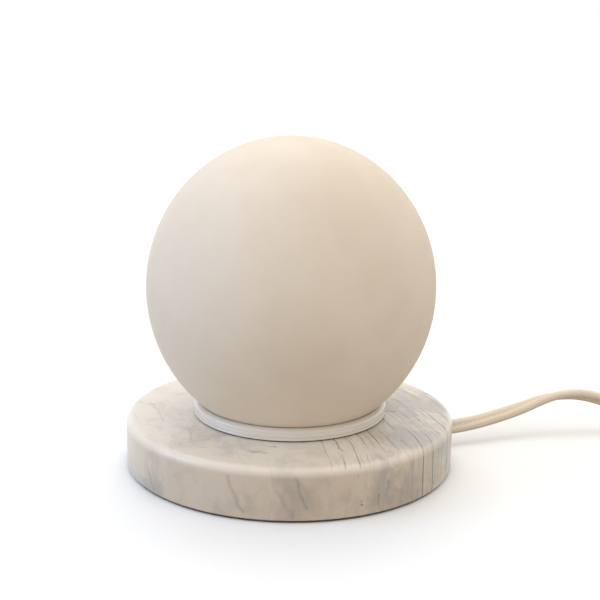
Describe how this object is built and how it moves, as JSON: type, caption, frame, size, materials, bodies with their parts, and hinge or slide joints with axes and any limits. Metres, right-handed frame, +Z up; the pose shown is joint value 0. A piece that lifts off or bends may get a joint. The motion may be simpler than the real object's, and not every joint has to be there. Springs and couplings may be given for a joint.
{
  "type": "table lamp",
  "caption": "Table lamp: an opal glass globe standing in a low white dish on a round veined stone foot, with a fabric flat cord, hand switch and plug.",
  "frame": {"origin": "centre of the underside, on the surface the lamp stands on", "axes": "+Z up along the globe's axis; -Y is the side seen in the picture; +X to its right, where the cord leaves"},
  "size_m": [0.4193, 0.207, 0.1721],
  "materials": {
    "marble": "polished, grey veined",
    "felt": "napped",
    "black_rubber": "matt",
    "white_enamel": "gloss",
    "silicone": "satin",
    "opal_glass": "frosted opal",
    "zinc_steel": "zinc plated",
    "ivory_plastic": "satin",
    "brown_insulation": "smooth",
    "blue_insulation": "smooth",
    "holder_plastic": "satin",
    "porcelain": "glazed",
    "brass": "bright",
    "solder": "dull",
    "black_glass": "gloss",
    "nickel": "nickel plated",
    "bulb_plastic": "satin",
    "frosted_glass": "frosted",
    "cord_fabric": "braided",
    "rocker_plastic": "gloss",
    "ivory_sleeve": "satin"
  },
  "bodies": {
    "lamp": {"marble_base": "marble", "base_pad": "felt", "dish_gasket": "black_rubber", "collar_dish": "white_enamel", "seat_gasket": "silicone", "threaded_tube": "zinc_steel", "lower_washer": "zinc_steel", "upper_washer": "zinc_steel", "lower_nut": "zinc_steel", "upper_nut": "zinc_steel", "cord_bush": "ivory_plastic", "cord_grip": "ivory_plastic", "cord_grip_screw": "zinc_steel", "live_wire": "brown_insulation", "neutral_wire": "blue_insulation", "holder_cap": "holder_plastic", "holder_shell": "holder_plastic", "holder_core": "porcelain", "holder_sleeve": "brass", "centre_contact": "brass", "side_contact": "brass", "terminal_blocks": "brass", "terminal_screws": "zinc_steel", "cord_lead": "cord_fabric", "cord_tail": "cord_fabric", "cord_coil": "cord_fabric", "cord_end": "cord_fabric", "switch_bottom": "ivory_plastic", "switch_top": "ivory_plastic", "switch_contacts": "brass", "switch_screws": "zinc_steel", "plug_body": "ivory_plastic", "plug_pins": "nickel", "plug_pin_sleeves": "ivory_sleeve"},
    "globe": {"globe_glass": "opal_glass"},
    "bulb_tip": {"bulb_contact": "solder"},
    "bulb": {"bulb_insulator": "black_glass", "bulb_cap": "nickel", "bulb_collar": "bulb_plastic", "bulb_glass": "frosted_glass"},
    "rocker": {"switch_rocker": "rocker_plastic"}
  },
  "joints": [
    {"name": "globe_lift", "type": "slide", "parent": "lamp", "child": "globe", "axis": [0, 0, 1], "range_m": [0, 0.13]},
    {"name": "bulb_rise", "type": "slide", "parent": "lamp", "child": "bulb_tip", "axis": [0, 0, 1], "range_m": [0, 0.0142]},
    {"name": "bulb_turn", "type": "hinge", "parent": "bulb_tip", "child": "bulb", "pos_m": [0, 0, 0.0665], "axis": [0, 0, 1], "range_deg": [0, 1800]},
    {"name": "switch_tip", "type": "hinge", "parent": "lamp", "child": "rocker", "pos_m": [0.25, 0.05, 0.0145], "axis": [0, 1, 0], "range_deg": [0, 16]}
  ],
  "couplings": [
    {"joint": "bulb_rise", "follows": "bulb_turn", "m_per_rad": 0.00044882}
  ]
}
